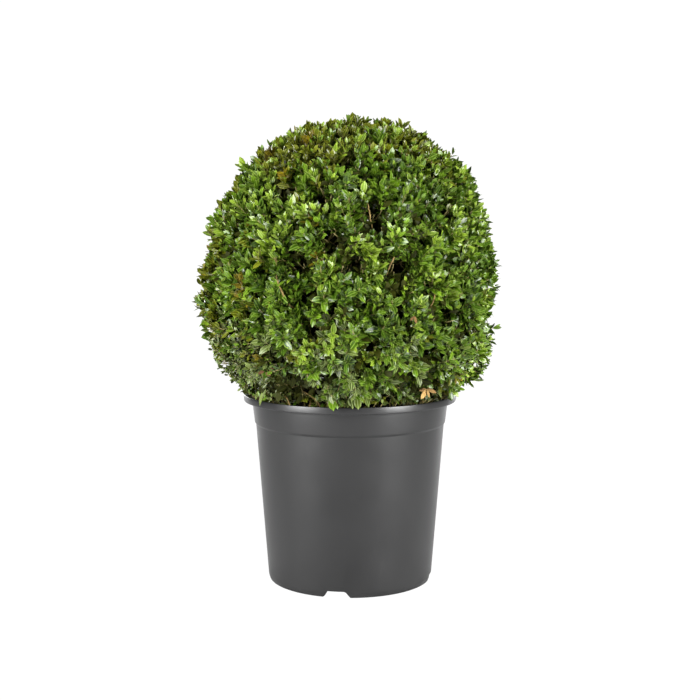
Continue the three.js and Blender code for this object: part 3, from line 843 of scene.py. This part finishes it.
bough_tips = np.array([points[2] for points in BOUGHS.values()], float)
behind = [
    np.degrees(np.arccos(0.82 - 1.35 * rng.random(OPENINGS_BEHIND))),
    rng.uniform(15, 165, OPENINGS_BEHIND),
    rng.uniform(5, 9.5, OPENINGS_BEHIND),
]
opening_rows = np.concatenate([OPENINGS, np.stack(behind, -1)])
opening_directions = directions_to(opening_rows)
in_front = (np.arange(len(opening_rows)) < len(OPENINGS))[:, None]
opening_axes = unit(opening_directions - np.where(in_front, [0, 0.9, 0.1], 0))
openings = list(zip(crown_point(opening_directions, 5), opening_axes, opening_rows[:, 2]))


def from_line(points, place, axis):
    """How far along a line each point lies from its place, and how far away from it."""
    away = points - place
    along = away @ axis
    return along, np.linalg.norm(away - along[:, None] * axis, axis=1)


def in_opening(points):
    """Whether each point lies in the shaft of an opening."""
    inside = np.zeros(len(points), bool)
    for place, axis, radius in openings:
        along, across = from_line(points, place, axis)
        inside |= (np.abs(along) < OPENING_REACH) & (across < radius * OPENING_SHARE)
    return inside


def hollow_depth(points):
    """How far the cover falls away at each point, in the hollows round the openings."""
    deepest = np.zeros(len(points))
    for place, axis, radius in openings:
        along, across = from_line(points, place, axis)
        near = (along > -HOLLOW_REACH) * np.exp(-((across / (HOLLOW_SPREAD * radius)) ** 2))
        deepest = np.maximum(deepest, HOLLOW_DEPTH * near)
    return deepest


def in_sky_hole(points, margin):
    """Whether each point lies this near one of the lines of sight through the ball's edge."""
    inside = np.zeros(len(points), bool)
    for x, z, radius in SKY_HOLES:
        place = np.array([x, 0, z])
        across = from_line(points, place, unit(place - np.array(CAMERA_PLACE) / MM))[1]
        inside |= across < radius + margin
    return inside


def in_pot(points):
    """Whether any corner of each leaf lies in the rim or under the compost."""
    away = np.hypot(points[..., 0], points[..., 1])
    deep = np.where(away > INSIDE_RIM, points[..., 2] < RIM_TOP + 0.4, points[..., 2] < SOIL_TOP + 1)
    return (deep & (away < POT_CLEAR)).any(1)


limb_directions = spread_directions(LIMBS, FOOT_ANGLE, 0.16)
limb_heads = crown_point(limb_directions, LIMB_DEPTH + rng.uniform(-4, 4, LIMBS))

spray_directions = spread_directions(SPRAYS, math.radians(133), 0.26)
spray_heads = crown_point(spray_directions, SPRAY_DEPTH + rng.uniform(-4, 5, SPRAYS))
spray_tops = crown_point(spray_directions)
limb_tops = crown_point(limb_directions)
spray_limb = nearest(spray_tops, limb_tops)[0][:, 0]

twigs = Joined()
stems = Joined()


def grow(starts, ends, radii, steps, sides, bend_out, wander):
    """Curved tapering twigs from starts to ends, bent outwards and a little at random."""
    middle = (starts + ends) / 2
    span = np.linalg.norm(ends - starts, axis=1, keepdims=True)
    out = unit(middle - CROWN_CENTRE)
    bend = middle + out * span * bend_out + rng.normal(0, 1, middle.shape) * span * wander
    paths = bezier((starts, bend, ends), steps)
    sizes = np.broadcast_to(np.linspace(radii[0], radii[1], steps), (len(starts), steps))
    twigs.add(*tubes(paths, sizes, sides))


grow(bough_tips[mass_of(limb_directions)], limb_heads, LIMB_RADII, 9, 8, 0.05, 0.05)
grow(limb_heads[spray_limb], spray_heads, SPRAY_RADII, 6, 6, -0.05, 0.08)

shoot_directions = spread_directions(SHOOTS, FOOT_ANGLE, 0.3)
shoot_tops = crown_point(shoot_directions)
near_spray, spray_away = nearest(shoot_tops, spray_tops)
limb_away = nearest(shoot_tops, limb_tops, 2)[1]
seam = limb_away[:, 1] - limb_away[:, 0]
ragged = TIP_DEPTHS[0] + (TIP_DEPTHS[1] - TIP_DEPTHS[0]) * rng.random(SHOOTS) ** 1.6
# The top is clipped smooth, so the seams between limbs only show lower down.
polar = np.degrees(np.arccos(shoot_directions[:, 2]))
seam_share = np.clip(polar / 30 - 0.7, 0.1, 1)
dome = SPRAY_DOME * np.clip(spray_away[:, 0] / 18, 0, 1.4) ** 2
dome += LIMB_DOME * np.clip(limb_away[:, 0] / 40, 0, 1.3) ** 3 * seam_share
tip_depths = np.where(rng.random(SHOOTS) < STRAYS, rng.uniform(*STRAY_DEPTHS, SHOOTS), ragged + dome)
hollows = hollow_depth(shoot_tops)
tip_depths += hollows * rng.uniform(0.7, 1.1, SHOOTS)
open_here = in_opening(shoot_tops) | in_sky_hole(shoot_tops, 1.5)
thin = (seam < LIMB_SEAM) & (rng.random(SHOOTS) < SEAM_THINNING * seam_share)
tips = crown_point(shoot_directions, tip_depths)
low = tips[:, 2] < np.where(np.hypot(tips[:, 0], tips[:, 1]) > INSIDE_RIM, RIM_TOP + 5, SOIL_TOP + 12)
kept = ~open_here & ~thin & ~low
grown = (shoot_directions, shoot_tops, tips, near_spray[:, 0], hollows, polar)
shoot_directions, shoot_tops, tips, near_spray, hollows, polar = (rows[kept] for rows in grown)
count = len(tips)


def shoots_from(feet, heads, directions, leans, thickness):
    """Shoots that leave their spray sideways and turn up and outwards, as paths of nine points."""
    rise = np.array([0, 0, 1.0]) * (1 - np.abs(directions[:, 2:3]))
    facing = unit(directions + rise + leans + rng.normal(0, SHOOT_WANDER, directions.shape))
    span = np.linalg.norm(heads - feet, axis=1, keepdims=True)
    bend = heads - facing * span * SHOOT_BEND
    paths = bezier((feet, bend, heads), 9)
    sizes = np.broadcast_to(np.linspace(thickness, thickness * SHOOT_TAPER, 5), (len(feet), 5))
    stems.add(*tubes(paths[:, ::2], sizes, 4))
    return paths


def leaves_on(paths, pairs, scale, kinds, tints, upright=0):
    """Opposite pairs of leaves along each path, each pair crosswise to the last, joined by kind."""
    number = len(paths)
    steps = paths.shape[1] - 1
    side = unit(np.cross(unit(paths[:, -1] - paths[:, 0]), rng.normal(0, 1, (number, 3))))
    for pair, (length, lean, share) in enumerate(pairs):
        place = np.clip(share + rng.uniform(-0.03, 0.03, number), 0, 1) * steps
        low_step = np.minimum(place.astype(int), steps - 1)
        part = (place - low_step)[:, None]
        rows = np.arange(number)
        start, end = paths[rows, low_step], paths[rows, low_step + 1]
        root = start * (1 - part) + end * part
        axis = unit(end - start)
        side = unit(side - axis * (side * axis).sum(-1, keepdims=True))
        for hand in (1, -1):
            tilt = lean * (1 - 0.3 * upright) + rng.normal(0, TILT_SPREAD, number)
            away = side * hand + np.cross(axis, side) * rng.normal(0, TURN_SPREAD, number)[:, None]
            along = axis * np.cos(tilt)[:, None] + unit(away) * np.sin(tilt)[:, None]
            upper = axis + rng.normal(0, TURN_SPREAD, axis.shape)
            size = length * scale * (1 + rng.normal(0, LENGTH_SPREAD, number)).clip(0.6, 1.25)
            width = size * LEAF_WIDTH * rng.uniform(0.86, 1.16, number)
            droop = rng.normal(*LEAF_DROOP, number)
            cup = rng.normal(*LEAF_CUP, number)
            points = leaf_points(root + along * 0.6, along, upper, size, width, droop, cup)
            middle = points.mean(1)
            covers = in_opening(middle) | in_sky_hole(middle, 2) | in_pot(points)
            tint = np.clip(tints + rng.normal(0, TINT_SPREAD, number), 0, 1)
            for name, group in leaf_groups.items():
                chosen = (kinds[pair] == name) & (rng.random(number) > LEAF_GAPS) & ~covers
                if chosen.any():
                    group.add(points[chosen], LEAF_TRIANGLES, LEAF_UVS, tint[chosen])
        side = np.cross(axis, side)


leaf_groups = {name: Joined() for name in LEAF_KINDS}
scale = rng.normal(1, 0.1, count).clip(0.75, 1.15)
spray_tint = rng.random(SPRAYS)
spray_young = rng.random(SPRAYS) < 0.14
# More sprays on the ball's sides take the deep green, as painted shade.
side_shade = np.abs(spray_directions[:, 0]) * (spray_directions[:, 2] > -0.15)
spray_deep = rng.random(SPRAYS) < 0.24 + 0.34 * side_shade
spray_warm = rng.random(SPRAYS)
left = np.clip(-shoot_directions[:, 0], 0, 1)
foot = np.clip((polar - 96) / 26, 0, 1)
top = np.clip(1.15 - polar / 52, 0, 1)
flank = np.exp(-(((polar - 94) / 24) ** 2))
small = foot * (0.08 + 0.3 * np.clip(0.3 - 1.3 * shoot_directions[:, 0], 0, 1))
upright = np.clip(0.9 * left + top, 0, 1) * (1 - foot)


def chosen_here(share):
    """Picks shoots by their share, mostly whole sprays at a time."""
    return spray_warm[near_spray] * 0.6 + rng.random(count) * 0.4 < share


is_bronze = chosen_here(0.05 + 0.2 * top + 0.1 * left)
is_olive = chosen_here(0.08 + 0.9 * top + 0.5 * left**2 + 0.12 * foot)
is_dull = rng.random(count) < foot * (0.25 + 0.75 * np.clip(0.25 - 1.3 * shoot_directions[:, 0], 0, 1))
clumps = np.array(FRESH_CLUMPS, float)
clump_away = np.linalg.norm(shoot_tops[:, None] - crown_point(directions_to(clumps)), axis=2)
in_clump = rng.random(count) < 0.9 * np.exp(-((clump_away / clumps[:, 2]) ** 4)).max(1)
is_young = in_clump | (spray_young[near_spray] & (rng.random(count) < 0.65)) | (rng.random(count) < 0.08)
# Shoots in the hollows take the deep green, as painted shade.
in_hollow = hollows > rng.uniform(5, 13, count)
in_shade = hollows > rng.uniform(9, 17, count)
is_deep = rng.random(count) < np.where(spray_deep[near_spray], 0.6, 0.22)
is_deep = (is_deep & ~in_clump) | in_hollow
is_young &= (in_clump | ~is_dull) & ~in_hollow


def kind_of(choices, other):
    """The first kind in the choices, rows of a mask and a name, that each shoot is picked for."""
    return np.select([mask for mask, name in choices], [name for mask, name in choices], other)


# Shoots deepest in the hollows take the near-black leaves of painted shade.
shaded, dull, bronze = (in_shade, "painted_shade"), (is_dull, "dull"), (is_bronze, "bronze")
olive, deep = (is_olive, "olive"), (is_deep, "deep")
body = kind_of([shaded, dull, bronze, olive, deep], "mid")
upper_kind = np.where(is_young, "fresh", body)
rarely = (rng.random(count) < 0.3) & ~in_hollow & ~is_dull
tip_kind = kind_of([(is_young, "fresh"), bronze, (rarely, "fresh")], np.where(is_deep, "mid", body))
low_kind = kind_of([shaded, dull, deep, olive], "mid")
spray_leans = rng.normal(0, SPRAY_LEAN, (SPRAYS, 3))
shoot_paths = shoots_from(spray_heads[near_spray], tips, shoot_directions, spray_leans[near_spray], 0.9)
leaves_on(
    shoot_paths,
    OUTER_PAIRS,
    scale * (1 - small) * (1 + 0.04 * flank),
    ["deep"] + [low_kind] * 3 + [upper_kind] * 3 + [tip_kind],
    0.27 + 0.3 * spray_tint[near_spray] + rng.normal(0, 0.15, count),
    upright,
)

# Inner shoots close the ball's inside, in the shade of the others; their leaves are near-black, as painted
# shade.
inner_directions = spread_directions(INNER_SHOOTS, math.radians(139), 0.3)
inner_tips = crown_point(inner_directions, rng.uniform(*INNER_DEPTHS, INNER_SHOOTS))
far_out = np.hypot(inner_tips[:, 0], inner_tips[:, 1]) > INSIDE_RIM - 8
low = inner_tips[:, 2] < np.where(far_out, RIM_TOP + 9, SOIL_TOP + 14)
inner_directions, inner_tips = inner_directions[~low], inner_tips[~low]
inner_spray = nearest(inner_tips, spray_heads)[0][:, 0]
inner_starts = spray_heads[inner_spray] - unit(spray_heads[inner_spray] - CROWN_CENTRE) * 12
inner_paths = shoots_from(inner_starts, inner_tips, inner_directions, spray_leans[inner_spray], 1.0)
leaves_on(inner_paths, INNER_PAIRS, 1, ["painted_shade"] * 4, rng.uniform(0.2, 0.8, len(inner_tips)))

# The skirt at the foot of the crown.
turn = rng.uniform(0, 2 * np.pi, SKIRT_SHOOTS)
foot_reach, head_reach = rng.uniform(62, 96, SKIRT_SHOOTS), rng.uniform(102, 122, SKIRT_SHOOTS)
level = np.stack([np.cos(turn), np.sin(turn), np.zeros(SKIRT_SHOOTS)], -1)
swing = turn + rng.normal(0, 0.12, SKIRT_SHOOTS)
skirt_feet = level * foot_reach[:, None] + [0, 0, SOIL_TOP - 1]
skirt_heads = np.stack(
    [head_reach * np.cos(swing), head_reach * np.sin(swing), rng.uniform(214, 230, SKIRT_SHOOTS)], -1
)
skirt_paths = shoots_from(skirt_feet, skirt_heads, level, rng.normal(0, 0.3, (SKIRT_SHOOTS, 3)), 0.75)
skirt_kinds = rng.choice(list(SKIRT_KINDS), SKIRT_SHOOTS, p=list(SKIRT_KINDS.values()))
leaves_on(skirt_paths, SKIRT_PAIRS, 1, [skirt_kinds] * 4, rng.uniform(0.1, 0.8, SKIRT_SHOOTS))

for root, tip, width, kind, tint in FRONT_LEAVES:
    root, tip = np.array([root], float), np.array([tip], float)
    facing = root * [1, 1, 0] / 110 + [0, -0.3, 0.5]
    size = np.linalg.norm(tip - root, axis=1)
    width, droop, cup = (np.array([value]) for value in (width, 0.02, 0.15))
    points = leaf_points(root, tip - root, facing, size, width, droop, cup)
    leaf_groups[kind].add(points, LEAF_TRIANGLES, LEAF_UVS, np.array([tint]))


def finer_path(points):
    """Four points for each of these, evenly between them, as a path for one tube."""
    fine = np.linspace(0, len(points) - 1, 4 * len(points))
    return np.stack([np.interp(fine, np.arange(len(points)), points[:, k]) for k in range(3)], -1)[None]


for points, thickness in FRONT_STEMS:
    path = finer_path(np.array(points, float))
    path[:, 1:-1] = (path[:, :-2] + path[:, 1:-1] + path[:, 2:]) / 3
    twigs.add(*tubes(path, np.linspace(0.6 * thickness, thickness, path.shape[1])[None], 8))

for row in SHOWN_STEMS:
    row = np.array(row, float)
    path = finer_path(crown_point(directions_to(row), row[:, 2]))
    path += rng.normal(0, 0.25, path.shape)
    twigs.add(*tubes(path, np.linspace(1.1, 0.5, path.shape[1])[None], 8))

twigs.piece("twigs", TWIG_BARK, "bark")
stems.piece("young_shoots", YOUNG_WOOD, "bark")
for name, group in leaf_groups.items():
    piece = group.piece("leaves_" + name, LEAF_KINDS[name], "foliage")
    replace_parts(piece, *("foliage_" + side for side in BOUGHS))


# The stage, the light and the camera.


def white_to_camera(lighting, white):
    """One shader as it lights the plant, the other as the camera sees it."""
    tree = lighting.id_data
    mixed = tree.nodes.new("ShaderNodeMixShader")
    link(tree.nodes.new("ShaderNodeLightPath").outputs["Is Camera Ray"], mixed.inputs["Fac"])
    link(lighting, mixed.inputs[1])
    link(white, mixed.inputs[2])
    return mixed.outputs["Shader"]


def make_stage():
    far = FLOOR_SIZE / 2
    floor = solid("floor", [(-far, -far, 0), (far, -far, 0), (far, far, 0), (-far, far, 0)], [(0, 1, 2, 3)])
    material, tree, shader = material_nodes("floor_paint")
    shader.inputs["Base Color"].default_value = (FLOOR_GREY, FLOOR_GREY, FLOOR_GREY, 1)
    shader.inputs["Roughness"].default_value = 0.9
    white = tree.nodes.new("ShaderNodeEmission")
    white.inputs["Strength"].default_value = WHITE
    link(white_to_camera(shader.outputs[0], white.outputs[0]), tree.nodes["Material Output"].inputs[0])
    floor.data.materials.append(material)


def area_light(name, place, aim, size, power):
    data = bpy.data.lights.new(name, "AREA")
    data.shape = "RECTANGLE"
    data.size, data.size_y = size
    data.energy = power
    light = add_object(name, data)
    light.location = place
    light.rotation_euler = (Vector((0, 0, aim)) - Vector(place)).to_track_quat("-Z", "Y").to_euler()
    light.visible_camera = False


make_stage()
for lamp in LAMPS:
    area_light(*lamp)

world = bpy.data.worlds.new("studio")
world.use_nodes = True
tree = world.node_tree
backdrop, room = tree.nodes["Background"], tree.nodes.new("ShaderNodeBackground")
for shade, strength in ((backdrop, WHITE), (room, ROOM_LIGHT)):
    shade.inputs["Color"].default_value = (1, 1, 1, 1)
    shade.inputs["Strength"].default_value = strength
link(white_to_camera(room.outputs[0], backdrop.outputs[0]), tree.nodes["World Output"].inputs["Surface"])
bpy.context.scene.world = world
bpy.context.scene.view_settings.view_transform = "Standard"

camera = add_object("camera", bpy.data.cameras.new("camera"))
camera.data.sensor_width = 36
camera.data.lens = CAMERA_LENS
camera.location = CAMERA_PLACE
camera.rotation_euler = (math.radians(90 - CAMERA_DOWN), 0, 0)
bpy.context.scene.camera = camera
